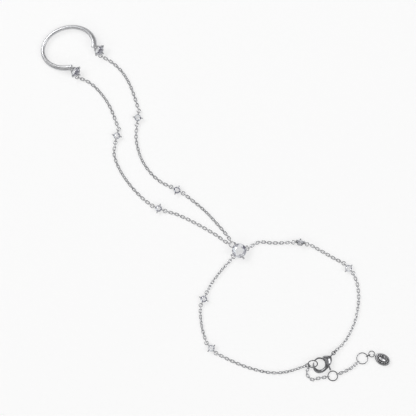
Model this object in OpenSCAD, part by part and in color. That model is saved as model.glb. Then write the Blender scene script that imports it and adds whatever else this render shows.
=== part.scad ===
// Hand chain bracelet: an open finger ring and a wrist chain joined by two fine chains with claw-set stones.
// Millimetres. It lies on the plane z = 0 as it does when laid out, with +Z up.

/* [Chain] */
// Thickness of the wire that the chain links and small jump rings are bent from
link_wire = 0.3; // [0.26:0.01:0.32]
// Clear length inside one chain link
link_gap_length = 1.26; // [1.2:0.02:1.4]
// Clear width inside one chain link
link_gap_width = 0.6; // [0.58:0.02:0.7]
// Free play between two linked pieces, measured along the chain
link_play = 0.12; // [0.1:0.01:0.14]
// Inner diameter of the small jump rings beside each stone
jump_gap = 1.0; // [0.94:0.02:1.1]
// Inner diameter of the jump ring that gathers both hand chains
gather_gap = 1.7; // [1.6:0.05:1.8]
// Inner diameter of the eyes soldered to the settings
eye_gap = 0.6; // [0.56:0.02:0.7]

/* [Chain stones] */
// Diameter of the stones along the chains
stone_d = 2.4; // [2:0.1:2.8]
// Diameter of their claws
claw_d = 0.5; // [0.4:0.02:0.56]
// Diameter of the stone at the back of the hand
centre_stone_d = 5.2; // [4.6:0.1:5.8]
// Diameter of its claws
centre_claw_d = 0.72; // [0.6:0.02:0.9]
// Gap between a stone and the metal that holds it
stone_fit = 0.05; // [0.03:0.01:0.08]

/* [Finger ring] */
// Half of the ring's longest mid-band diameter
ring_half_long = 9.5; // [8.5:0.1:10.5]
// Half of the ring's shortest mid-band diameter
ring_half_short = 7.3; // [6.8:0.1:8.5]
// Band width at the back of the ring
band_back_width = 1.7; // [1.4:0.1:2]
// Band width at the two open ends
band_end_width = 2.6; // [2.2:0.1:2.8]
// Band thickness at the back of the ring
band_back_thickness = 1.25; // [1:0.05:1.5]
// Band thickness at the two open ends
band_end_thickness = 1.9; // [1.6:0.05:2.1]
// Diameter of the two stones at the ring's ends
ring_stone_d = 3.3; // [2.8:0.1:3.5]
// Diameter of the claws that hold them
ring_claw_d = 0.56; // [0.5:0.02:0.62]
// Angle by which the heads lift the ring's open side off the surface, in degrees
ring_tilt = 4.2; // [3:0.2:6]

/* [Clasp and extender] */
// Radius of the clasp's round opening
clasp_hole_r = 1.9; // [1.8:0.05:2.1]
// Thickness of the clasp at its head
clasp_height = 2.2; // [2:0.1:2.6]
// Thickness of the clasp's lever
lever_height = 0.6; // [0.5:0.05:0.7]
// Diameter of the lever's pin
pin_d = 0.6; // [0.5:0.05:0.7]
// Wire of the clasp's ring and of the first size ring
large_wire = 0.38; // [0.34:0.02:0.4]
// Inner diameter of the ring that the clasp holds
end_ring_gap = 3.0; // [2.9:0.05:3.1]
// Inner diameter of the long link before that ring
end_link_gap = 1.3; // [1.2:0.05:1.5]
// Inner diameter of the first size ring of the extender
first_ring_gap = 3.1; // [2.8:0.1:3.3]
// Inner diameter of the last size ring of the extender
last_ring_gap = 3.6; // [3.2:0.1:3.8]
// Length of the oval tag
tag_length = 5.6; // [5:0.1:6.4]
// Width of the oval tag
tag_width = 4.0; // [3.4:0.1:4.6]
// Thickness of the tag's raised rim
tag_height = 1.2; // [0.9:0.1:1.4]

/* [Hidden] */
$fn = 40;

// Widths and heights that follow from the driving sizes
link_width = link_gap_width + 2 * link_wire;
chain_z = link_width / 2;
eye_r = (eye_gap + link_wire) / 2;
last_ring_wire = 0.36;
tag_ring_gap = 1.8;
seat_wire_share = 0.72;

// Distance between the centres of two linked pieces whose clear lengths are a and b
function linked(a, b) = (a + b) / 2 - link_play;

// Frames: origin, forward, left and up. They place a piece and turn its points into the whole's points.
function unit(v) = v / norm(v);
function heading(angle) = [cos(angle), sin(angle), 0];
function frame(origin, forward, up = [0, 0, 1]) =
    let (f = unit(forward), left = unit(cross(up, f)))
    [origin, f, left, cross(f, left)];
function rolled(f, a) = [f[0], f[1], cos(a) * f[2] + sin(a) * f[3], cos(a) * f[3] - sin(a) * f[2]];
function roll_to(f, up) = atan2(-(up * f[2]), up * f[3]);
function turned(f, v) = v.x * f[1] + v.y * f[2] + v.z * f[3];
function at(f, p) = f[0] + turned(f, p);
module place(f) {
    multmatrix([
        [f[1].x, f[2].x, f[3].x, f[0].x],
        [f[1].y, f[2].y, f[3].y, f[0].y],
        [f[1].z, f[2].z, f[3].z, f[0].z],
        [0, 0, 0, 1]
    ]) children();
}

// A smooth curve through points
CURVE_STEPS = 8;
function curve_point(a, b, c, d, u) = 0.5 * ((2 * b) + (c - a) * u
    + (2 * a - 5 * b + 4 * c - d) * u * u + (3 * b - a - 3 * c + d) * u * u * u);
function curve(points) =
    let (last = len(points) - 1,
         all = concat([2 * points[0] - points[1]], points, [2 * points[last] - points[last - 1]]))
    concat([for (i = [1:last]) for (k = [0:CURVE_STEPS - 1])
        curve_point(all[i - 1], all[i], all[i + 1], all[i + 2], k / CURVE_STEPS)], [points[last]]);
function sums(path) = [for (i = 0, s = 0; i < len(path);
    s = s + (i + 1 < len(path) ? norm(path[i + 1] - path[i]) : 0), i = i + 1) s];
function segment_at(totals, s) = len([for (t = [for (i = [1:len(totals) - 2]) totals[i]]) if (t <= s) t]);
function point_at(path, totals, s) =
    let (i = segment_at(totals, s), u = (s - totals[i]) / (totals[i + 1] - totals[i]))
    path[i] + (path[i + 1] - path[i]) * u;

// A tube or horn with flat ends: one polygon per section, in order, each clockwise seen from the last end
module swept(sections) {
    count = len(sections);
    sides = len(sections[0]);
    polyhedron(
        points = [for (s = sections) for (p = s) p],
        faces = concat(
            [[for (i = [sides - 1:-1:0]) i]],
            [for (j = [0:count - 2]) for (i = [0:sides - 1]) let (n = (i + 1) % sides)
                each [[j * sides + i, j * sides + n, (j + 1) * sides + n],
                      [j * sides + i, (j + 1) * sides + n, (j + 1) * sides + i]]],
            [[for (i = [0:sides - 1]) (count - 1) * sides + i]]));
}

// Round wire ring lying flat around the origin
module wire_ring(gap, wire) {
    rotate_extrude() translate([(gap + wire) / 2, 0]) circle(d = wire);
}

// One oval chain link lying flat, its length along X
module link() {
    straight = link_gap_length - link_gap_width;
    for (side = [0, 180]) rotate([0, 0, side]) {
        translate([straight / 2, 0, 0]) rotate([0, 0, -90])
            rotate_extrude(angle = 180) translate([(link_gap_width + link_wire) / 2, 0]) circle(d = link_wire);
        translate([-straight / 2, (link_gap_width + link_wire) / 2, 0]) rotate([0, 90, 0])
            cylinder(d = link_wire, h = straight);
    }
}

// Brilliant-cut stone, girdle at z = 0: table, 8 stars, 8 kites, 16 upper facets, and 24 facets below
TABLE_SHARE = 0.55;
CROWN_SHARE = 0.32;
PAVILION_SHARE = 0.86;
GIRDLE_SHARE = 0.05;
module brilliant(d) {
    r = d / 2;
    half_girdle = GIRDLE_SHARE * r / 2;
    crown = CROWN_SHARE * r;
    deep = PAVILION_SHARE * r;
    crown_slope = (crown - half_girdle) / (r - TABLE_SHARE * r);
    star_r = 0.8 * r;
    low_r = 0.32 * r;
    star_z = crown - (star_r * cos(22.5) - TABLE_SHARE * r) * crown_slope;
    low_z = -deep + low_r * cos(22.5) * (deep - half_girdle) / r;
    points = concat(
        [for (i = [0:7]) [TABLE_SHARE * r * cos(45 * i), TABLE_SHARE * r * sin(45 * i), crown]],
        [for (i = [0:7]) [star_r * cos(45 * i + 22.5), star_r * sin(45 * i + 22.5), star_z]],
        [for (i = [0:15]) [r * cos(22.5 * i), r * sin(22.5 * i), half_girdle]],
        [for (i = [0:15]) [r * cos(22.5 * i), r * sin(22.5 * i), -half_girdle]],
        [for (i = [0:7]) [low_r * cos(45 * i + 22.5), low_r * sin(45 * i + 22.5), low_z]],
        [[0, 0, -deep]]);
    star = 8;
    top = 16;
    bottom = 32;
    low = 48;
    culet = 56;
    faces = concat(
        [[7, 6, 5, 4, 3, 2, 1, 0]],
        [for (i = [0:7]) let (n = (i + 1) % 8, g = 2 * i, m = 2 * i + 1, e = (2 * i + 2) % 16) each [
            [i, n, star + i],
            [n, top + e, star + i],
            [star + i, top + e, top + m],
            [star + i, top + m, top + g],
            [i, star + i, top + g],
            [bottom + g, bottom + m, low + i],
            [bottom + m, bottom + e, low + i],
            [low + i, bottom + e, culet],
            [low + i, culet, bottom + g]]],
        [for (i = [0:15]) let (n = (i + 1) % 16) each [
            [top + i, top + n, bottom + n],
            [top + i, bottom + n, bottom + i]]]);
    polyhedron(points = points, faces = faces);
}

// Claw setting for a stone of diameter d, base at z = 0
function girdle_z(d) = 0.25 + PAVILION_SHARE * d / 2;
function base_r(d) = 0.34 * d;
function base_wire(d) = 0.3 + 0.05 * d;
function shoulder_r(d, claw) = d / 2 + stone_fit + 0.7 * claw;
function claw_r_at(d, claw, z) = let (foot = base_wire(d) / 2)
    base_r(d) + (shoulder_r(d, claw) - base_r(d)) * (z - foot) / (girdle_z(d) - foot);
BEAD_SHARE = 1.06;
module bar(a, b, d) {
    v = b - a;
    translate(a) rotate([0, acos(v.z / norm(v)), atan2(v.y, v.x)]) cylinder(d = d, h = norm(v));
    translate(b) sphere(d = BEAD_SHARE * d);
}
module claw_cup(d, claw) {
    r = d / 2;
    foot = base_wire(d) / 2;
    reach = BEAD_SHARE * claw / 2 + stone_fit;
    shoulder = [shoulder_r(d, claw), 0, girdle_z(d) + GIRDLE_SHARE * r / 2];
    tip = [0.95 * r + 0.52 * reach, 0, girdle_z(d) + 0.06 * r + 0.86 * reach];
    seat_wire = seat_wire_share * claw;
    seat_reach = seat_wire / 2 + stone_fit;
    seat_r = 0.72 * r + 0.65 * seat_reach;
    seat_z = girdle_z(d) - 0.025 * r - 0.28 * PAVILION_SHARE * r - 0.76 * seat_reach;
    translate([0, 0, foot]) rotate_extrude() translate([base_r(d), 0]) circle(r = foot);
    translate([0, 0, seat_z]) rotate_extrude() translate([seat_r, 0]) circle(d = seat_wire);
    for (a = [0:90:270]) rotate([0, 0, a]) {
        bar([base_r(d), 0, foot], shoulder, claw);
        bar(shoulder, tip, claw);
    }
}
module eye(x, z) {
    translate([x, 0, z]) rotate([90, 0, 0]) wire_ring(eye_gap, link_wire);
}

// Chain stones: where each stands and which way the chain runs through it.
// The last column turns a cup on its side; lift raises that one clear of the surface.
STONE_X = 0;
STONE_Y = 1;
STONE_HEADING = 2;
STONE_ROLL = 3;
HAND_STONES = [
    [-28.1, 30.7, -98, 0],
    [-14.0, 4.7, -28, 0],
    [-35.6, 24.2, -104, 0],
    [-20.6, -1.9, -22, 0]
];
WRIST_STONES = [
    [30.2, -14.4, -8, -60],
    [47.6, -23.4, -46, 0],
    [-4.4, -34.4, -115, 0],
    [-1.7, -52.1, -47, 0]
];
eye_x = claw_r_at(stone_d, claw_d, chain_z) + 0.55 * claw_d + eye_r;
// How far a cup that lies fully on its side is lifted
TURNED_LIFT = 0.68;
function stone_lift(row) = abs(sin(row[STONE_ROLL])) * TURNED_LIFT;
function stone_frame(row) =
    frame([row[STONE_X], row[STONE_Y], chain_z + stone_lift(row)], heading(row[STONE_HEADING]));
jump_x = eye_x + linked(eye_gap, jump_gap);
function leave_point(row) = at(stone_frame(row), [jump_x, 0, 0]);
function arrive_point(row) = at(stone_frame(row), [-jump_x, 0, 0]);

module chain_setting(row) {
    color("silver") place(stone_frame(row)) {
        rotate([row[STONE_ROLL], 0, 0]) translate([0, 0, -chain_z]) claw_cup(stone_d, claw_d);
        eye(eye_x, 0);
        eye(-eye_x, 0);
    }
}
module chain_stone(row) {
    color("aliceblue") place(stone_frame(row)) rotate([row[STONE_ROLL], 0, 0])
        translate([0, 0, girdle_z(stone_d) - chain_z]) brilliant(stone_d);
}

// The stone at the back of the hand, with eyes for the hand chains and both sides of the wrist chain
CENTRE = [8.3, -17.0, 0];
CENTRE_CLAW_ANGLE = 30;
HAND_EYE = 140;
RIGHT_EYE = 12;
LEFT_EYE = 229;
// How far each eye is soldered into the base ring
EYE_SINK = 0.14;
centre_eye_r = base_r(centre_stone_d) + base_wire(centre_stone_d) / 2 + eye_r - EYE_SINK;
function centre_ring(angle, gap) =
    CENTRE + [0, 0, chain_z] + (centre_eye_r + linked(eye_gap, gap)) * heading(angle);
module centre_setting() {
    color("silver") translate(CENTRE) {
        rotate([0, 0, CENTRE_CLAW_ANGLE]) claw_cup(centre_stone_d, centre_claw_d);
        for (a = [HAND_EYE, RIGHT_EYE, LEFT_EYE]) rotate([0, 0, a]) eye(centre_eye_r, chain_z);
    }
}
module centre_stone() {
    color("aliceblue") translate(CENTRE + [0, 0, girdle_z(centre_stone_d)])
        rotate([0, 0, CENTRE_CLAW_ANGLE]) brilliant(centre_stone_d);
}

// Finger ring: an oval open band, wider and thicker towards its ends.
// The band's back edge touches the surface and its open side is raised by ring_tilt.
RING_CENTRE = [-52.9, 55.8];
RING_HEADING = -37;
RING_LONG_AXIS = 52;
BAND_START = -21;
BAND_END = 268;
BAND_STEPS = 60;
HEAD_LEAN = 40;
HEAD_DROP = 0.6;
HEAD_OUT = 1.0;
HEAD_EYE_ANGLE = 240;
head_eye_z = 0.75;
head_eye_r = claw_r_at(ring_stone_d, ring_claw_d, head_eye_z) + 0.9 * eye_r;
HEAD_SOLDER = 1.5;
// Half of the band's section, as shares of half the thickness and half the width
BAND_SECTION = [
    [-1, 0.62], [-0.72, 0.93], [-0.2, 1], [0.35, 0.92], [0.8, 0.6], [1, 0.2]
];
function band_outline() = concat([for (p = BAND_SECTION) [p.x, -p.y]],
    [for (i = [len(BAND_SECTION) - 1:-1:0]) BAND_SECTION[i]]);
function oval_point(t) = let (c = cos(RING_LONG_AXIS), s = sin(RING_LONG_AXIS),
    u = ring_half_long * cos(t), v = ring_half_short * sin(t)) [u * c - v * s, u * s + v * c, 0];
function oval_normal(t) = let (c = cos(RING_LONG_AXIS), s = sin(RING_LONG_AXIS),
    n = unit([cos(t) / ring_half_long, sin(t) / ring_half_short])) [n.x * c - n.y * s, n.x * s + n.y * c, 0];
function band_share(t) = pow(abs(2 * (t - BAND_START) / (BAND_END - BAND_START) - 1), 1.2);
function band_width(t) = band_back_width + (band_end_width - band_back_width) * band_share(t);
function band_thickness(t) = band_back_thickness + (band_end_thickness - band_back_thickness) * band_share(t);
function band_section(t) = [for (p = band_outline())
    oval_point(t) + oval_normal(t) * p[0] * band_thickness(t) / 2 + [0, 0, p[1] * band_width(t) / 2]];
ring_flat = frame([0, 0, 0], [cos(RING_HEADING) * cos(ring_tilt), sin(RING_HEADING) * cos(ring_tilt),
    sin(ring_tilt)]);
ring_drop = -min(concat(
    [for (t = [BAND_START:3:BAND_END]) for (p = band_section(t)) turned(ring_flat, p).z],
    [for (t = [BAND_START, BAND_END]) head_eye(t, ring_flat).z - link_wire / 2
        - eye_r * norm([head_eye_normal(ring_flat).x, head_eye_normal(ring_flat).y])]));
ring_frame = [[RING_CENTRE.x, RING_CENTRE.y, ring_drop], ring_flat[1], ring_flat[2], ring_flat[3]];

// Each head leans up from the band's plane. Its eye points down and outwards, and a flat jump ring leaves it.
function head_frame(t, ring = ring_frame) =
    let (foot = at(ring, oval_point(t) + HEAD_OUT * oval_normal(t) - [0, 0, HEAD_DROP]),
         axis = turned(ring, [cos(HEAD_LEAN), 0, sin(HEAD_LEAN)]),
         side = ring[2])
    [foot, side, cross(axis, side), axis];
function head_eye(t, ring = ring_frame) = at(head_frame(t, ring),
    [head_eye_r * cos(HEAD_EYE_ANGLE), head_eye_r * sin(HEAD_EYE_ANGLE), head_eye_z]);
function head_eye_normal(ring = ring_frame) =
    turned(head_frame(0, ring), [sin(HEAD_EYE_ANGLE), -cos(HEAD_EYE_ANGLE), 0]);
function head_ring(t) = head_eye(t) - linked(eye_gap, jump_gap) * unit(cross(head_eye_normal(), [0, 0, 1]));

module finger_ring() {
    color("silver") {
        place(ring_frame) swept([for (i = [0:BAND_STEPS])
            band_section(BAND_START + (BAND_END - BAND_START) * i / BAND_STEPS)]);
        for (t = [BAND_START, BAND_END]) place(head_frame(t)) {
            claw_cup(ring_stone_d, ring_claw_d);
            rotate([0, 0, HEAD_EYE_ANGLE]) {
                eye(head_eye_r, head_eye_z);
                translate([head_eye_r - eye_r, 0, head_eye_z]) sphere(d = HEAD_SOLDER * link_wire);
            }
        }
    }
}
module ring_stone(t) {
    color("aliceblue") place(head_frame(t)) translate([0, 0, girdle_z(ring_stone_d)]) brilliant(ring_stone_d);
}

// Clasp: a tapering horn around a round opening, a slotted head, a pin and a sprung lever
CLASP = [37.2, -57.85, clasp_height / 2];
clasp_frame = frame(CLASP, [1, 0, 0]);
// Sections of the horn from the head to the tip: angle, width as a share of the opening's radius,
// and half height as a share of half the clasp's thickness
HORN_ANGLE = 0;
HORN_WIDTH = 1;
HORN_HEIGHT = 2;
HORN = [
    [66, 0.72, 0.8], [50, 1.15, 0.95], [36, 1.66, 1], [24, 1.55, 1], [12, 1.36, 1], [-9, 0.95, 0.94],
    [-30, 0.7, 0.84], [-50, 0.64, 0.72], [-75, 0.68, 0.6], [-100, 0.72, 0.48], [-122, 0.66, 0.38],
    [-145, 0.5, 0.34], [-168, 0.36, 0.32], [-196, 0.26, 0.28]
];
HORN_SIDES = 12;
HORN_STEPS = 3;
function horn_row(i) = HORN[min(max(i, 0), len(HORN) - 1)];
function horn_at(u) = let (i = min(floor(u), len(HORN) - 2))
    curve_point(horn_row(i - 1), horn_row(i), horn_row(i + 1), horn_row(i + 2), u - i);
function horn_section(row) = let (half = row[HORN_WIDTH] * clasp_hole_r / 2,
    middle = clasp_hole_r + half, tall = row[HORN_HEIGHT] * clasp_height / 2)
    [for (i = [0:HORN_SIDES - 1]) let (a = -360 * i / HORN_SIDES,
        r = middle + half * cos(a)) [r * cos(row[HORN_ANGLE]), r * sin(row[HORN_ANGLE]), tall * sin(a)]];
LEVER_TRAVEL = 15;
pivot = clasp_hole_r * [1.27, 0.79];
pivot_boss_r = 0.75;
lever_gap = 0.1;
pin_gap = 0.06;
slot_gap = 0.15;
arm_in = clasp_hole_r * 1.04;
arm_out = clasp_hole_r * 1.32;
ARM_FROM = 34;
ARM_TO = 160;
TAIL_ANGLE = -67;
tail_length = clasp_hole_r * 1.9;
tail_width = 0.56;
// The lever's free end swings past the inside of the horn's tip
tip_angle = HORN[len(HORN) - 1][HORN_ANGLE];
arm_reach = norm(clasp_hole_r * [cos(tip_angle), sin(tip_angle)] - pivot) - lever_gap;
clasp_eye_point = clasp_hole_r * [2.33, 1.79];
clasp_eye_gap = 0.9;
module pie(r, from, to, height) {
    translate([0, 0, -height / 2]) rotate([0, 0, from]) rotate_extrude(angle = to - from) square([r, height]);
}
module clasp_body() {
    slot = lever_height + 2 * lever_gap;
    color("gainsboro") place(clasp_frame) {
        difference() {
            swept([for (i = [0:(len(HORN) - 1) * HORN_STEPS]) horn_section(horn_at(i / HORN_STEPS))]);
            translate(pivot) {
                cylinder(r = pivot_boss_r + slot_gap, h = slot, center = true);
                pie(3 * clasp_hole_r, TAIL_ANGLE, TAIL_ANGLE + LEVER_TRAVEL, slot);
                for (a = [0, LEVER_TRAVEL]) rotate([0, 0, TAIL_ANGLE + a])
                    translate([0, -tail_width / 2 - lever_gap, -slot / 2])
                        cube([3 * clasp_hole_r, tail_width + 2 * lever_gap, slot]);
            }
            pie(arm_out + slot_gap, ARM_FROM - 8, 90, slot);
        }
        translate(pivot) cylinder(d = pin_d, h = 0.8 * clasp_height, center = true);
        translate(clasp_eye_point) rotate([90, 0, 45]) wire_ring(clasp_eye_gap, large_wire);
    }
}
module clasp_lever() {
    color("gainsboro") place(clasp_frame) difference() {
        union() {
            intersection() {
                rotate([0, 0, ARM_FROM]) rotate_extrude(angle = ARM_TO - ARM_FROM)
                    translate([arm_in, -lever_height / 2]) square([arm_out - arm_in, lever_height]);
                translate(pivot) cylinder(r = arm_reach, h = lever_height, center = true);
            }
            translate(pivot) {
                cylinder(r = pivot_boss_r, h = lever_height, center = true);
                rotate([0, 0, TAIL_ANGLE]) {
                    translate([0, -tail_width / 2, -lever_height / 2]) cube([tail_length, tail_width, lever_height]);
                    translate([tail_length, 0, 0]) cylinder(d = tail_width + 0.1, h = lever_height, center = true);
                }
            }
        }
        translate(pivot) cylinder(d = pin_d + 2 * pin_gap, h = 2 * lever_height, center = true);
    }
}

// Rings at the clasp's eye: one through the eye, one between it and the chain
CLASP_WAY = 45;
clasp_eye = at(clasp_frame, [clasp_eye_point.x, clasp_eye_point.y, 0]);
CLASP_RING_ROLLS = [15, 105];
CLASP_RING_DROPS = [0.05, 0.12];
clasp_ring_a = clasp_eye + linked(clasp_eye_gap, jump_gap) * heading(CLASP_WAY)
    - [0, 0, CLASP_RING_DROPS[0]];
clasp_ring_b = clasp_ring_a + linked(jump_gap, jump_gap) * heading(CLASP_WAY)
    - [0, 0, CLASP_RING_DROPS[1]];
clasp_frame_a = rolled(frame(clasp_ring_a, heading(CLASP_WAY)), CLASP_RING_ROLLS[0]);
clasp_frame_b = rolled(frame(clasp_ring_b, heading(CLASP_WAY)), CLASP_RING_ROLLS[1]);
module clasp_rings() {
    color("silver") for (f = [clasp_frame_a, clasp_frame_b]) place(f) wire_ring(jump_gap, link_wire);
}

// The ring that the clasp holds leans across it, over the lever and under the horn
END_RING_TILT = 36;
end_ring = [CLASP.x - 2.5, CLASP.y + 0.15, CLASP.z + 0.27];
end_ring_frame = rolled(frame(end_ring, [1, 0, 0]), END_RING_TILT);
// Point at a distance from the ring's centre, in its plane, towards a heading
function on_end_ring(way, r) = let (h = heading(way), n = end_ring_frame[3]) end_ring + r * unit(h - (h * n) * n);
END_LINK_WAY = 203;
END_LINK_ROLL = 58;
end_link = on_end_ring(END_LINK_WAY, linked(end_ring_gap, end_link_gap));
end_link_frame = rolled(frame(end_link, heading(END_LINK_WAY)), END_LINK_ROLL);
module end_rings() {
    color("silver") {
        place(end_ring_frame) wire_ring(end_ring_gap, large_wire);
        place(end_link_frame) wire_ring(end_link_gap, link_wire);
    }
}

// Extender: two size rings, a short link, a small ring and the tag
FIRST_RING = [42.0, -62.1];
LAST_RING = [52.6, -55.8];
first_ring = [FIRST_RING.x, FIRST_RING.y, chain_z];
last_ring = [LAST_RING.x, LAST_RING.y, chain_z];
TAG_LINK_WAY = 25;
TAG_WAY = -27;
tag_link = last_ring + linked(last_ring_gap, link_gap_length) * heading(TAG_LINK_WAY);
tag_ring = tag_link + linked(link_gap_length, tag_ring_gap) * heading(TAG_LINK_WAY);
tag_eye = tag_ring + linked(tag_ring_gap, eye_gap) * heading(TAG_WAY);
tag_centre = tag_eye + (eye_r + tag_length / 2) * heading(TAG_WAY);
module extender_ring_1() {
    color("silver") translate(first_ring) wire_ring(first_ring_gap, large_wire);
}
module extender_ring_2() {
    color("silver") translate(last_ring) wire_ring(last_ring_gap, last_ring_wire);
}
module tag_links() {
    color("silver") {
        place(rolled(frame(tag_link, heading(TAG_LINK_WAY)), 90)) link();
        translate(tag_ring) wire_ring(tag_ring_gap, link_wire);
    }
}
module oval(length, width, height) {
    linear_extrude(height) polygon([for (a = [0:7.5:352.5]) [length / 2 * cos(a), width / 2 * sin(a)]]);
}
module tag() {
    rim = 0.55;
    floor_thickness = 0.4 * tag_height;
    color("silver") {
        translate([tag_centre.x, tag_centre.y, 0]) rotate([0, 0, TAG_WAY]) difference() {
            oval(tag_length, tag_width, tag_height);
            translate([0, 0, floor_thickness]) oval(tag_length - 2 * rim, tag_width - 2 * rim, tag_height);
        }
        place(rolled(frame(tag_eye, heading(TAG_WAY)), 90)) wire_ring(eye_gap, link_wire);
    }
}

// Chain runs: each leaves one ring and arrives at another. The way points were chosen by eye.
ROUTES = [
    // hand r1
    [[-37.4, 50.6, chain_z], [-33.8, 47.2, chain_z], [-31.0, 42.6, chain_z], [-29.0, 37.2, chain_z]],
    // hand r2
    [[-28.7, 22.8, chain_z], [-27.0, 16.3, chain_z], [-23.8, 11.2, chain_z], [-19.8, 7.6, chain_z]],
    // hand r3
    [[-8.8, 1.2, chain_z], [-4.0, -2.8, chain_z], [0.7, -7.8, chain_z], [4.4, -12.2, chain_z]],
    // hand l1
    [[-45.4, 43.3, chain_z], [-41.4, 39.5, chain_z], [-38.0, 34.3, chain_z]],
    // hand l2
    [[-36.6, 17.4, chain_z], [-34.6, 12.0, chain_z], [-31.0, 6.6, chain_z], [-26.6, 1.9, chain_z]],
    // hand l3
    [[-13.7, -4.2, chain_z], [-7.6, -7.1, chain_z], [-0.4, -11.2, chain_z], [3.1, -13.7, chain_z]],
    // wrist r1
    [[15.4, -14.1, chain_z], [20.0, -14.3, chain_z], [23.6, -14.3, 0.75], [26.4, -14.1, 1.15]],
    // wrist r2
    [[34.0, -15.1, 1.15], [36.6, -16.5, 0.75], [39.6, -18.2, chain_z], [42.4, -19.8, chain_z]],
    // wrist r3
    [[50.8, -29.1, chain_z], [51.3, -34.8, chain_z], [50.3, -41.3, chain_z], [48.3, -46.4, chain_z],
     [45.9, -50.3, chain_z]],
    // wrist l1
    [[2.3, -23.7, chain_z], [-1.1, -28.1, chain_z]],
    // wrist l2
    [[-5.6, -40.0, chain_z], [-4.9, -45.4, chain_z]],
    // wrist l3
    [[5.8, -56.8, chain_z], [12.2, -59.3, chain_z], [19.4, -60.9, chain_z], [25.6, -60.6, chain_z]],
    // extender 1
    [[33.3, -59.2, chain_z], [32.8, -60.4, chain_z], [33.0, -62.1, chain_z],
     [34.6, -63.4, chain_z], [36.7, -63.0, chain_z], [38.6, -62.7, chain_z]],
    // extender 2
    [[45.1, -61.0, chain_z], [48.0, -59.6, chain_z], [50.0, -58.1, chain_z]]
];

// A run: way points, then centre, clear length and facing of the ring it leaves and of the one it arrives at
RUN_WAY = 0;
RUN_START = 1;
RUN_START_GAP = 2;
RUN_START_UP = 3;
RUN_END = 4;
RUN_END_GAP = 5;
RUN_END_UP = 6;
UP = [0, 0, 1];
gather_ring = centre_ring(HAND_EYE, gather_gap);
// A run between the flat jump rings of two stones
function between(way, leave, arrive) = [way, leave_point(leave), jump_gap, UP, arrive_point(arrive), jump_gap, UP];
HAND_RUNS = [
    [ROUTES[0], head_ring(BAND_START), jump_gap, UP, arrive_point(HAND_STONES[0]), jump_gap, UP],
    between(ROUTES[1], HAND_STONES[0], HAND_STONES[1]),
    [ROUTES[2], leave_point(HAND_STONES[1]), jump_gap, UP, gather_ring, gather_gap, UP],
    [ROUTES[3], head_ring(BAND_END), jump_gap, UP, arrive_point(HAND_STONES[2]), jump_gap, UP],
    between(ROUTES[4], HAND_STONES[2], HAND_STONES[3]),
    [ROUTES[5], leave_point(HAND_STONES[3]), jump_gap, UP, gather_ring, gather_gap, UP]
];
WRIST_RUNS = [
    [ROUTES[6], centre_ring(RIGHT_EYE, jump_gap), jump_gap, UP, arrive_point(WRIST_STONES[0]), jump_gap, UP],
    [ROUTES[9], centre_ring(LEFT_EYE, jump_gap), jump_gap, UP, arrive_point(WRIST_STONES[2]), jump_gap, UP]
];
TUBE_RUNS = [
    between(ROUTES[7], WRIST_STONES[0], WRIST_STONES[1]),
    [ROUTES[8], leave_point(WRIST_STONES[1]), jump_gap, UP, clasp_ring_b, jump_gap, clasp_frame_b[3]],
    between(ROUTES[10], WRIST_STONES[2], WRIST_STONES[3]),
    [ROUTES[11], leave_point(WRIST_STONES[3]), jump_gap, UP, end_link, end_link_gap, end_link_frame[3]]
];
// The tilted end ring looks shorter from above, where the extender's flat run leaves it
extender_start = [end_ring.x, end_ring.y, chain_z];
extender_start_gap = end_ring_gap - (end_ring_gap + large_wire) * (1 - cos(END_RING_TILT)) * 0.8;
EXTENDER_RUNS = [
    [ROUTES[12], extender_start, extender_start_gap, end_ring_frame[3], first_ring, first_ring_gap, UP],
    [ROUTES[13], first_ring, first_ring_gap, UP, last_ring, last_ring_gap, UP]
];

function run_path(run) = curve(concat([run[RUN_START]], run[RUN_WAY], [run[RUN_END]]));
function path_frame(path, totals, s, reach) = frame(point_at(path, totals, s),
    point_at(path, totals, s + reach) - point_at(path, totals, s - reach));
// A run's links: equal steps no longer than two linked links allow, each a quarter turn from the last
LINK_REACH = 0.35;
function run_links(run) =
    let (path = run_path(run),
         totals = sums(path),
         first = linked(run[RUN_START_GAP], link_gap_length),
         last = totals[len(totals) - 1] - linked(run[RUN_END_GAP], link_gap_length),
         steps = ceil((last - first) / linked(link_gap_length, link_gap_length)),
         start_roll = roll_to(path_frame(path, totals, first, LINK_REACH), run[RUN_START_UP]),
         end_roll = roll_to(path_frame(path, totals, last, LINK_REACH), run[RUN_END_UP]),
         spare = end_roll - start_roll - 90 * steps,
         twist = (spare - 180 * round(spare / 180)) / steps)
    [for (i = [0:steps]) rolled(path_frame(path, totals, first + (last - first) * i / steps, LINK_REACH),
        start_roll + 90 + i * (90 + twist))];
module run_of_links(run) {
    color("silver") for (f = run_links(run)) place(f) link();
}
module jump_ring(point) {
    color("silver") translate(point) wire_ring(jump_gap, link_wire);
}
module hand_chain(i) {
    run = HAND_RUNS[i];
    run_of_links(run);
    jump_ring(run[RUN_START]);
    if (run[RUN_END_GAP] == jump_gap) jump_ring(run[RUN_END]);
    if (i == 2) color("silver") translate(gather_ring) wire_ring(gather_gap, link_wire);
}
module wrist_chain(i) {
    run = WRIST_RUNS[i];
    run_of_links(run);
    jump_ring(run[RUN_START]);
    jump_ring(run[RUN_END]);
}
module wrist_rings() {
    for (row = WRIST_STONES) jump_ring(leave_point(row));
    for (i = [1, 3]) jump_ring(arrive_point(WRIST_STONES[i]));
}

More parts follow.
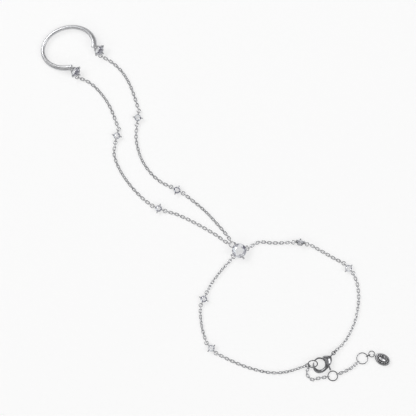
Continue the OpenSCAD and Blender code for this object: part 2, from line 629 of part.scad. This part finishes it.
// Where the finest chain is left out, a tube of the chain's width follows its whole route
TUBE_SIDES = 8;
TUBE_STEP = 2.8;
module chain_tube(run) {
    path = run_path(run);
    totals = sums(path);
    clear = 0.2;
    from = run[RUN_START_GAP] / 2 + link_wire + clear;
    to = totals[len(totals) - 1] - run[RUN_END_GAP] / 2 - link_wire - clear;
    steps = ceil((to - from) / TUBE_STEP);
    color("silver") swept([for (k = [0:steps])
        let (f = path_frame(path, totals, from + (to - from) * k / steps, clear))
        [for (i = [0:TUBE_SIDES - 1]) let (a = 360 * (i + 0.5) / TUBE_SIDES)
            at(f, [0, link_width / 2 * cos(a), -link_width / 2 * sin(a)])]]);
}

HAND_NAMES = ["r1", "r2", "r3", "l1", "l2", "l3"];
STONE_NAMES = ["r1", "r2", "l1", "l2"];
HAND_CHAIN_NODES = [for (n = HAND_NAMES) str("hand_chain_", n)];
WRIST_CHAIN_NODES = ["wrist_chain_r1", "wrist_chain_l1"];
TUBE_NODES = ["wrist_chain_r2", "wrist_chain_r3", "wrist_chain_l2", "wrist_chain_l3"];
HAND_SETTING_NODES = [for (n = STONE_NAMES) str("hand_setting_", n)];
HAND_STONE_NODES = [for (n = STONE_NAMES) str("hand_stone_", n)];
WRIST_SETTING_NODES = [for (n = STONE_NAMES) str("wrist_setting_", n)];
WRIST_STONE_NODES = [for (n = STONE_NAMES) str("wrist_stone_", n)];

// The origin is the middle of the whole's footprint
band_points = [for (t = [BAND_START:3:BAND_END]) for (p = band_section(t)) at(ring_frame, p)];
origin_x = (min([for (p = band_points) p.x]) + tag_centre.x
    + norm([tag_length * cos(TAG_WAY), tag_width * sin(TAG_WAY)]) / 2) / 2;
origin_y = (max([for (p = band_points) p.y]) + first_ring.y - first_ring_gap / 2 - large_wire) / 2;
translate([-origin_x, -origin_y, 0]) {
    finger_ring();
    ring_stone(BAND_START);  // ring_stone_upper
    ring_stone(BAND_END);  // ring_stone_lower
    for (i = [0:3]) {
        chain_setting(HAND_STONES[i]);
        chain_stone(HAND_STONES[i]);
        chain_setting(WRIST_STONES[i]);
        chain_stone(WRIST_STONES[i]);
        chain_tube(TUBE_RUNS[i]);
    }
    for (i = [0:1]) wrist_chain(i);
    for (i = [0:5]) hand_chain(i);
    centre_setting();
    centre_stone();
    wrist_rings();
    clasp_body();
    clasp_lever();
    clasp_rings();
    end_rings();
    run_of_links(EXTENDER_RUNS[0]);  // extender_chain_1
    extender_ring_1();
    run_of_links(EXTENDER_RUNS[1]);  // extender_chain_2
    extender_ring_2();
    tag_links();
    tag();
}
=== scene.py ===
import math

import bmesh
import bpy
from mathutils import Matrix, Vector

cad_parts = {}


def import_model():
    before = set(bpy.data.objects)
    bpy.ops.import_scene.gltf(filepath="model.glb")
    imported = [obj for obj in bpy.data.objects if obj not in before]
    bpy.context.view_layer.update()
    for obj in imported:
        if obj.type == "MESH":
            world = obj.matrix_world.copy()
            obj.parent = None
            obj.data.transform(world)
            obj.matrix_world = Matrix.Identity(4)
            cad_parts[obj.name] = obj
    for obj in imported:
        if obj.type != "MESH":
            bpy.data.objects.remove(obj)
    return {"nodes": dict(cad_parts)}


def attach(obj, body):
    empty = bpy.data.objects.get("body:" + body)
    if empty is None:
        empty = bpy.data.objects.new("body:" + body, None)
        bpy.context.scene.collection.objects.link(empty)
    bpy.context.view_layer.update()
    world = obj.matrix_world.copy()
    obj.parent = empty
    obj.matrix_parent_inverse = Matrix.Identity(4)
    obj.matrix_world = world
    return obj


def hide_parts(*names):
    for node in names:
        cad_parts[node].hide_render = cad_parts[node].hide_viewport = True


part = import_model()["nodes"]
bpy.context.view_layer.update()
MM = 0.001

# The camera: it looks straight down on the laid-out bracelet from a little over 40 cm, as in the
# photograph, and its picture is about 15 cm wide at the table.
PICTURE_CENTRE = Vector((-2.64, -1.71, 0)) * MM
PICTURE_WIDTH = 149.8 * MM
CAMERA_HEIGHT = 420 * MM
SENSOR = 36

camera_data = bpy.data.cameras.new("camera")
camera_data.sensor_width = SENSOR
camera_data.lens = SENSOR * CAMERA_HEIGHT / PICTURE_WIDTH
camera_data.clip_start = 0.01
camera_data.clip_end = 20
camera = bpy.data.objects.new("camera", camera_data)
camera.location = PICTURE_CENTRE + Vector((0, 0, CAMERA_HEIGHT))
bpy.context.scene.collection.objects.link(camera)
bpy.context.scene.camera = camera
bpy.context.scene.view_settings.view_transform = "Standard"


# The table: a wide board faced with matt white laminate, lit so evenly that it reads as plain white.
# The bracelet is laid out flat on it and nothing holds it there.
class Socket:
    """What a shader node gives, as a value that arithmetic can be written with."""

    def __init__(self, tree, out):
        self.tree = tree
        self.out = out

    def math(self, operation, first, second):
        made = self.tree.nodes.new("ShaderNodeMath")
        made.operation = operation
        for slot, value in zip(made.inputs, (first, second)):
            if isinstance(value, Socket):
                self.tree.links.new(value.out, slot)
            else:
                slot.default_value = value
        return Socket(self.tree, made.outputs[0])

    def __add__(self, other):
        return self.math("ADD", self, other)

    __radd__ = __add__

    def __mul__(self, other):
        return self.math("MULTIPLY", self, other)

    __rmul__ = __mul__

    def __sub__(self, other):
        return self.math("SUBTRACT", self, other)

    def __rsub__(self, other):
        return self.math("SUBTRACT", other, self)


class Finish:
    """The shader nodes of one material or world."""

    def __init__(self, owner):
        owner.use_nodes = True
        self.tree = owner.node_tree
        self.tree.nodes.clear()

    def node(self, kind, settings=(), output=0, **sockets):
        """Make a node. A socket is given by its name, or by i and its number where names repeat."""
        made = self.tree.nodes.new("ShaderNode" + kind)
        for name, value in dict(settings).items():
            if name == "stops":
                ramp = made.color_ramp
                while len(ramp.elements) < len(value):
                    ramp.elements.new(1)
                for element, (place, colour) in zip(ramp.elements, value):
                    element.position = place
                    element.color = (*colour, 1)
            else:
                setattr(made, name, value)
        for name, value in sockets.items():
            numbered = name[0] == "i" and name[1:].isdigit()
            slot = made.inputs[int(name[1:]) if numbered else name.replace("_", " ")]
            if isinstance(value, Socket):
                self.tree.links.new(value.out, slot)
            else:
                slot.default_value = value
        return Socket(self.tree, made.outputs[output]) if made.outputs else None


def grey(level):
    return (level, level, level)


TABLE_HALF = 12
TABLE_TOP = -0.02 * MM
LAMINATE_GRAIN = 900
CORNERS = ((-1, -1), (1, -1), (1, 1), (-1, 1))

table_material = bpy.data.materials.new("table_white")
laminate = Finish(table_material)
table_place = laminate.node("TexCoord", output="Object")
table_grain = laminate.node("TexNoise", Vector=table_place, Scale=LAMINATE_GRAIN, Detail=3)
table_colour = laminate.node("ValToRGB", {"stops": [(0.3, grey(0.36)), (0.7, grey(0.38))]}, Fac=table_grain)
table_shader = laminate.node("BsdfPrincipled", Base_Color=table_colour, Roughness=0.85,
                             Emission_Color=(1, 1, 1, 1), Emission_Strength=0.635)
laminate.node("OutputMaterial", Surface=table_shader)
table_mesh = bpy.data.meshes.new("table")
table_mesh.from_pydata([(x * TABLE_HALF, y * TABLE_HALF, 0) for x, y in CORNERS], [], [(0, 1, 2, 3)])
table_mesh.materials.append(table_material)
table = bpy.data.objects.new("table", table_mesh)
table.location.z = TABLE_TOP
bpy.context.scene.collection.objects.link(table)

# The light tent: white cloth all round, with a dark opening above for the camera, dark panels low down
# and soft folds between them. They give the polished metal its grey and black reflections.
TENT_BANDS = ((0.0, 0.10), (0.25, 0.12), (0.40, 0.75), (0.62, 0.95), (0.76, 0.35), (0.88, 0.85),
              (0.96, 0.45), (1.0, 0.16))
TENT_PANELS = ((0.40, 0.12), (0.50, 1.0), (0.6, 1.25))
TENT_FOLD_SCALE = 2.6
MULTIPLIED = {"data_type": "RGBA", "blend_type": "MULTIPLY"}

tent = bpy.data.worlds.new("light_tent")
bpy.context.scene.world = tent
cloth = Finish(tent)
tent_direction = cloth.node("TexCoord", output="Generated")
tent_height = cloth.node("SeparateXYZ", output="Z", Vector=tent_direction)
tent_bands = cloth.node("ValToRGB", {"stops": [(height, grey(level)) for height, level in TENT_BANDS]},
                        Fac=tent_height)
tent_folds = cloth.node("TexNoise", Vector=tent_direction, Scale=TENT_FOLD_SCALE, Detail=1)
tent_panels = cloth.node("ValToRGB", {"stops": [(depth, grey(level)) for depth, level in TENT_PANELS]},
                         Fac=tent_folds)
tent_light = cloth.node("Mix", MULTIPLIED, output=2, i0=1.0, i6=tent_bands, i7=tent_panels)
cloth.node("OutputWorld", Surface=cloth.node("Background", Color=tent_light, Strength=1.0))


# The softboxes: two cloth-fronted lamps outside the picture, a wide one at the left and a tall one at the
# right, each turned towards the bracelet. They lay bright lines along the metal and cast its soft shadows.
def softbox(name, place, size, power):
    data = bpy.data.lights.new(name, "AREA")
    data.shape = "RECTANGLE"
    data.size, data.size_y = size
    data.energy = power
    box = bpy.data.objects.new(name, data)
    box.location = place
    box.rotation_euler = Vector(place).to_track_quat("Z", "Y").to_euler()
    bpy.context.scene.collection.objects.link(box)


softbox("softbox_left", place=(-0.9, 0.7, 1.1), size=(0.9, 0.6), power=9)
softbox("softbox_right", place=(1.0, -0.3, 1.2), size=(0.5, 0.9), power=5)


# Finger ring: a cast open band that widens towards its ends, with a claw head soldered to each end.
# Like all the metal here it is sterling silver, polished and plated with rhodium. This piece is buffed
# by hand, so its long lines stay soft.
def silver(name, tone, rough, painted_shade_level=0.45, painted_shade_reach=0.5, rounding=0.0, painted_shade_fade=(0.15, 0.85)):
    """Polished silver. Small waves and the buff's fine lines break up its reflections.

    tone is its colour in the open, set part by part to how light or dark that piece looks under these
    lamps, so the pieces are lit and shaded copies of one silver. painted_shade_level is the share of tone
    left where little open air reaches a spot: painted shade in corners and hollows. A spot gets the full
    painted shade below the first share of open air in painted_shade_fade and none above the second.
    painted_shade_reach is how far off, in mm, a wall still adds painted shade to a spot. rounding is how
    far, in mm, the buff softens an edge.
    """
    waves_per_metre = 420
    lines_per_metre = 2600
    wave_height = 0.03
    line_height = 0.01
    line_roughness = 0.06
    corner_roughness = 0.2
    material = bpy.data.materials.new(name)
    finish = Finish(material)
    place = finish.node("TexCoord", output="Object")
    waves = finish.node("TexNoise", Vector=place, Scale=waves_per_metre, Detail=2)
    lines = finish.node("TexNoise", Vector=place, Scale=lines_per_metre, Detail=4, Roughness=0.7)
    open_air = finish.node("AmbientOcclusion", {"samples": 6}, output="AO", Distance=painted_shade_reach * MM)
    # Painted shade: the colour falls towards a share of tone where walls close by hide the open air.
    painted_shade_colour = tuple(channel * painted_shade_level for channel in tone)
    shade = finish.node("ValToRGB", {"stops": [(painted_shade_fade[0], painted_shade_colour), (painted_shade_fade[1], tone)]}, Fac=open_air)
    tint = finish.node("ValToRGB", {"stops": [(0.3, (0.93, 0.935, 0.95)), (0.7, grey(1.0))]}, Fac=waves)
    colour = finish.node("Mix", MULTIPLIED, output=2, i0=1.0, i6=shade, i7=tint)
    edges = {"Normal": finish.node("Bevel", {"samples": 8}, Radius=rounding * MM)} if rounding else {}
    ripples = finish.node("Bump", Strength=0.1, Distance=line_height * MM, Height=lines, **edges)
    swell = finish.node("Bump", Strength=0.2, Distance=wave_height * MM, Height=waves, Normal=ripples)
    dullness = rough + line_roughness * (lines - 0.5) + corner_roughness * (1 - open_air)
    shader = finish.node("BsdfPrincipled", Base_Color=colour, Metallic=1.0, Roughness=dullness,
                         Normal=swell)
    finish.node("OutputMaterial", Surface=shader)
    return material


def dress(name, material):
    data = part[name].data
    data.materials.clear()
    data.materials.append(material)


# The ring's silver: a copy with its own tone, set to how bright the band looks under these lamps, with
# painted shade in its corners.
dress("finger_ring", silver("ring_silver", (0.64, 0.64, 0.65), 0.34, rounding=0.5))

# Stones: clear cubic zirconia in brilliant cut, sharp at every facet edge and held down by the claws.
# Over the clear glass lies a painted reflection: each facet is painted white, grey or a little violet by
# the way it faces, painted darker towards the girdle, and made to glow a little. What shines through is
# tinted with painted fire, a colour also set by the way each facet faces.
# Painted fire: colours that tint the light passing through, chosen by the way a facet faces.
PAINTED_FIRE_SCALE = 3.1
PAINTED_FIRE = ((0.30, (0.80, 0.97, 1.0)), (0.44, grey(1.0)), (0.58, grey(1.0)), (0.72, (0.88, 0.82, 1.0)))
# Painted reflection and painted shade of the facets, by the way each faces, and the share of it laid over the
# clear glass.
PAINTED_FACET_SCALE = 5.5
PAINTED_FACET_REFLECTIONS = ((0.36, (0.12, 0.11, 0.17)), (0.44, (0.62, 0.62, 0.66)), (0.50, grey(0.98)),
                 (0.68, (0.88, 0.94, 0.97)))
PAINTED_FACET_SHADE = ((0.1, (0.3, 0.3, 0.32)), (0.7, (0.6, 0.6, 0.63)), (0.82, (0.9, 0.9, 0.92)), (0.92, grey(1.0)))
PAINTED_REFLECTION_SHARE = 0.62
STONE_IOR = 2.1

stone_material = bpy.data.materials.new("clear_stone")
stone = Finish(stone_material)
facing = stone.node("NewGeometry", output="True Normal")
painted_fire = stone.node("TexNoise", Vector=facing, Scale=PAINTED_FIRE_SCALE, Detail=1)
painted_fire_colour = stone.node("ValToRGB", {"stops": PAINTED_FIRE}, Fac=painted_fire)
clear = stone.node("BsdfPrincipled", Base_Color=painted_fire_colour, Roughness=0.02, IOR=STONE_IOR,
                   Transmission_Weight=1.0)
painted_reflection_noise = stone.node("TexNoise", Vector=facing, Scale=PAINTED_FACET_SCALE, Detail=1, Roughness=0.5)
painted_reflection_colour = stone.node("ValToRGB", {"stops": PAINTED_FACET_REFLECTIONS}, Fac=painted_reflection_noise)
facet_rise = stone.node("SeparateXYZ", output="Z", Vector=facing)
painted_facet_shade = stone.node("ValToRGB", {"stops": PAINTED_FACET_SHADE}, Fac=facet_rise)
painted_reflection_and_shade = stone.node("Mix", MULTIPLIED, output=2, i0=1.0, i6=painted_reflection_colour, i7=painted_facet_shade)
# The painted reflection, with a faint painted glow.
painted_reflection_glow = stone.node("BsdfPrincipled", Base_Color=painted_reflection_and_shade, Roughness=0.05, IOR=STONE_IOR,
                    Emission_Color=painted_reflection_and_shade, Emission_Strength=0.25)
stone.node("OutputMaterial", Surface=stone.node("MixShader", i0=PAINTED_REFLECTION_SHARE, i1=clear, i2=painted_reflection_glow))
for name in part:
    if "stone" in name:
        dress(name, stone_material)

# Claw settings along the chains and at the back of the hand: a base ring, a seat and four round claws,
# all silver wire, with an eye soldered to the base for each jump ring that leaves it.
# The settings' silver: a copy with its own tone, set to how bright they look under these lamps, with painted
# shade in their corners.
setting_silver = silver("setting_silver", (0.54, 0.54, 0.55), 0.14)
for name in part:
    if "setting" in name:
        dress(name, setting_silver)

# Fine cable chain: oval links of drawn wire, each bent round the last, soldered shut and tumbled bright.
# Every link lies a quarter turn from its neighbours. The solder leaves a small swelling on one long side.
# The last two runs on each side of the wrist are linked here, in place of the source's plain tubes.
WIRE = 0.3
LINK_LENGTH = 1.26
LINK_WIDTH = 0.6
PLAY = 0.12
QUARTER_TURN = 90
WIRE_SIDES = 12
BEND_STEPS = 12
CURVE_STEPS = 8
HEADING_REACH = 0.35
SOLDER_RISE = 0.03
SOLDER_SPREAD = 0.13
LONG_SIDE = 0.4
JUMP_RING_GAP = 1.0
JUMP_RING_FROM_STONE = 2.5062
CHAIN_HEIGHT = 0.6
TURNED_LIFT = 0.68
UP = Vector((0, 0, 1))
# The frame's origin is the middle of the whole piece. This brings a point of the source there, in mm.
TO_FRAME = Vector((0.2417, 0.0188, 0))
# The wrist's stones: x and y in mm, heading and roll in degrees.
RIGHT_STONE_1 = (30.2, -14.4, -8, -60)
RIGHT_STONE_2 = (47.6, -23.4, -46, 0)
LEFT_STONE_1 = (-4.4, -34.4, -115, 0)
LEFT_STONE_2 = (-1.7, -52.1, -47, 0)
# The clasp's second ring and the long link before the ring that the clasp holds.
CLASP_RING = Vector((42.8362, -53.2398, 0.93))
CLASP_RING_WAY = Vector((1, 1, 0))
CLASP_RING_ROLL = 105
END_LINK = Vector((32.7801, -58.2334, 0.9825))
END_LINK_FACING = Vector((-0.3314, 0.7806, 0.5299))
END_LINK_GAP = 1.3


def linked(gap, next_gap):
    return (gap + next_gap) / 2 - PLAY


def frame_of(place, forward):
    forward = forward.normalized()
    left = UP.cross(forward).normalized()
    return place, forward, left, forward.cross(left)


def rolled(axes, angle):
    place, forward, left, up = axes
    turn = math.radians(angle)
    return (place, forward, math.cos(turn) * left + math.sin(turn) * up,
            math.cos(turn) * up - math.sin(turn) * left)


def roll_to(axes, facing):
    _, _, left, up = axes
    return math.degrees(math.atan2(-facing.dot(left), facing.dot(up)))


def curve_through(points):
    ends = [2 * points[0] - points[1], *points, 2 * points[-1] - points[-2]]
    path = []
    for a, b, c, d in zip(ends, ends[1:], ends[2:], ends[3:]):
        for step in range(CURVE_STEPS):
            u = step / CURVE_STEPS
            path.append(0.5 * (2 * b + (c - a) * u + (2 * a - 5 * b + 4 * c - d) * u ** 2
                               + (3 * b - a - 3 * c + d) * u ** 3))
    path.append(points[-1])
    return path


def link_places(way, start, end, end_gap=JUMP_RING_GAP, end_facing=UP):
    path = curve_through([Vector(point) for point in (start, *way, end)])
    along = [0]
    for a, b in zip(path, path[1:]):
        along.append(along[-1] + (b - a).length)

    def spot(s):
        i = max(k for k in range(len(along) - 1) if k == 0 or along[k] <= s)
        return path[i].lerp(path[i + 1], (s - along[i]) / (along[i + 1] - along[i]))

    def axes_at(s):
        return frame_of(spot(s), spot(s + HEADING_REACH) - spot(s - HEADING_REACH))

    first = linked(JUMP_RING_GAP, LINK_LENGTH)
    last = along[-1] - linked(end_gap, LINK_LENGTH)
    steps = math.ceil((last - first) / linked(LINK_LENGTH, LINK_LENGTH))
    start_roll = roll_to(axes_at(first), UP)
    spare = roll_to(axes_at(last), end_facing) - start_roll - QUARTER_TURN * steps
    twist = (spare - 2 * QUARTER_TURN * round(spare / (2 * QUARTER_TURN))) / steps
    return [rolled(axes_at(first + (last - first) * i / steps),
                   start_roll + QUARTER_TURN + i * (QUARTER_TURN + twist)) for i in range(steps + 1)]


def ring_beside(stone_row, side):
    x, y, heading, roll = stone_row
    turn = math.radians(heading)
    away = side * JUMP_RING_FROM_STONE
    lift = abs(math.sin(math.radians(roll))) * TURNED_LIFT
    return Vector((x + away * math.cos(turn), y + away * math.sin(turn), CHAIN_HEIGHT + lift))


def link_line():
    """The middle of a link's wire, as x, y and the outward direction."""
    bend = (LINK_WIDTH + WIRE) / 2
    straight = (LINK_LENGTH - LINK_WIDTH) / 2
    line = []
    for end in (1, -1):
        for step in range(BEND_STEPS + 1):
            turn = math.pi * (step / BEND_STEPS - 0.5)
            line.append((end * (straight + bend * math.cos(turn)), end * bend * math.sin(turn),
                         (end * math.cos(turn), end * math.sin(turn))))
        for share in (0.5, 0, -0.5):
            line.append((end * straight * share, end * bend, (0, end)))
    return line


def wire_link(mesh, axes, solder_side):
    place, forward, left, up = axes
    rings = []
    for x, y, out in link_line():
        swell = SOLDER_RISE * math.exp(-(x / SOLDER_SPREAD) ** 2) if y * solder_side > LONG_SIDE else 0
        ring = []
        for side in range(WIRE_SIDES):
            turn = 2 * math.pi * side / WIRE_SIDES
            half = (WIRE - swell if math.cos(turn) < 0 else WIRE + swell) / 2
            away = half * math.cos(turn)
            spot = place + (x + out[0] * away) * forward + (y + out[1] * away) * left
            spot = spot + WIRE / 2 * math.sin(turn) * up
            ring.append(mesh.verts.new((spot + TO_FRAME) * MM))
        rings.append(ring)
    for ring, following in zip(rings, rings[1:] + rings[:1]):
        for side in range(WIRE_SIDES):
            beyond = (side + 1) % WIRE_SIDES
            mesh.faces.new((ring[side], following[side], following[beyond], ring[beyond]))


def finished(name, mesh, material):
    bmesh.ops.recalc_face_normals(mesh, faces=mesh.faces)
    data = bpy.data.meshes.new(name)
    mesh.to_mesh(data)
    mesh.free()
    for face in data.polygons:
        face.use_smooth = True
    data.materials.append(material)
    piece = bpy.data.objects.new(name, data)
    bpy.context.scene.collection.objects.link(piece)
    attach(piece, "bracelet")
    return piece


# The chain's silver: a copy with its own tone, set to how bright the chain looks under these lamps, with
# painted shade where links cross.
chain_silver = silver("chain_silver", (0.62, 0.62, 0.63), 0.17)
for name in part:
    if "chain" in name or name == "wrist_rings":
        dress(name, chain_silver)

*_, clasp_ring_facing = rolled(frame_of(CLASP_RING, CLASP_RING_WAY), CLASP_RING_ROLL)
wrist_runs = {
    "r2": {"way": [(34.0, -15.1, 1.15), (36.6, -16.5, 0.75), (39.6, -18.2, 0.6), (42.4, -19.8, 0.6)],
           "start": ring_beside(RIGHT_STONE_1, 1), "end": ring_beside(RIGHT_STONE_2, -1)},
    "r3": {"way": [(50.8, -29.1, 0.6), (51.3, -34.8, 0.6), (50.3, -41.3, 0.6), (48.3, -46.4, 0.6),
                   (45.9, -50.3, 0.6)],
           "start": ring_beside(RIGHT_STONE_2, 1), "end": CLASP_RING, "end_facing": clasp_ring_facing},
    "l2": {"way": [(-5.6, -40.0, 0.6), (-4.9, -45.4, 0.6)],
           "start": ring_beside(LEFT_STONE_1, 1), "end": ring_beside(LEFT_STONE_2, -1)},
    "l3": {"way": [(5.8, -56.8, 0.6), (12.2, -59.3, 0.6), (19.4, -60.9, 0.6), (25.6, -60.6, 0.6)],
           "start": ring_beside(LEFT_STONE_2, 1), "end": END_LINK, "end_gap": END_LINK_GAP,
           "end_facing": END_LINK_FACING},
}
for side, run in wrist_runs.items():
    chain_mesh = bmesh.new()
    for count, axes in enumerate(link_places(**run)):
        wire_link(chain_mesh, axes, 1 if count % 2 else -1)
    chain = finished("links_" + side, chain_mesh, chain_silver)
    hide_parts("wrist_chain_" + side)

# Lobster clasp and its sprung lever: cast silver with a hard, clear polish. Its colour is a shaded copy of
# the silver, set darker than the chain's to paint in the tent's dark reflections. The lever turns on a pin
# through the clasp's head.
shaded_clasp_silver = silver("shaded_clasp_silver", (0.34, 0.34, 0.35), 0.09, painted_shade_level=0.2, rounding=0.3)
for name in ("clasp_body", "clasp_lever"):
    dress(name, shaded_clasp_silver)

# Larger rings and the tag's links: round wire bent to a circle, and soldered or closed end to end. Those
# by the clasp, the first size ring and the tag's are shaded copies of the silver, set darker, and the last
# size ring a lit copy, set lighter: painted shade and painted light on the same wire.
shaded_wire_silver = silver("shaded_wire_silver", (0.2, 0.2, 0.205), 0.14)
for name in ("end_rings", "extender_ring_1", "clasp_rings", "tag_links"):
    dress(name, shaded_wire_silver)
dress("extender_ring_2", silver("lit_last_ring_silver", (0.38, 0.38, 0.39), 0.16))

# Oval tag: cast with a raised rim. A row of beads and a plain oval boss stand on its sunken floor. The floor
# is painted dark with shade where the rim hems it in, and the beads and boss are a much lighter copy of the
# silver, a painted highlight.
TAG_CENTRE = Vector((59.8295, -56.1936, 0))
TAG_HEADING = -27
TAG_FLOOR = 0.48
BEADS = 22
BEAD_SIZE = 0.42
BEAD_LIFT = 0.06
BEAD_ROW_HALF_LENGTH = 1.96
BEAD_ROW_HALF_WIDTH = 1.16
BOSS_HALF_SIZES = (1.32, 0.62, 0.46)

# The tag: painted shade darkens its floor nearly to black where the rim hems it in.
tag_silver = silver("tag_silver", (0.5, 0.5, 0.51), 0.24, painted_shade_level=0.02, painted_shade_reach=1.1, rounding=0.35,
                    painted_shade_fade=(0.55, 0.98))
dress("tag", tag_silver)
relief_mesh = bmesh.new()
turn_tag = Matrix.Rotation(math.radians(TAG_HEADING), 4, "Z")
for count in range(BEADS):
    turn = 2 * math.pi * count / BEADS
    spot = turn_tag @ Vector((BEAD_ROW_HALF_LENGTH * math.cos(turn), BEAD_ROW_HALF_WIDTH * math.sin(turn),
                              TAG_FLOOR + BEAD_LIFT))
    bmesh.ops.create_uvsphere(relief_mesh, u_segments=14, v_segments=8, radius=BEAD_SIZE / 2 * MM,
                              matrix=Matrix.Translation((TAG_CENTRE + TO_FRAME + spot) * MM))
boss_place = Matrix.Translation((TAG_CENTRE + TO_FRAME + TAG_FLOOR * UP) * MM)
boss_shape = Matrix.Diagonal((*BOSS_HALF_SIZES, 1))
bmesh.ops.create_uvsphere(relief_mesh, u_segments=48, v_segments=24, radius=MM,
                          matrix=boss_place @ turn_tag @ boss_shape)
# The beads and boss: a lit copy of the silver, painted near white.
finished("tag_relief", relief_mesh,
         silver("lit_relief_silver", (0.92, 0.92, 0.93), 0.3, painted_shade_level=0.25, painted_shade_reach=0.2))
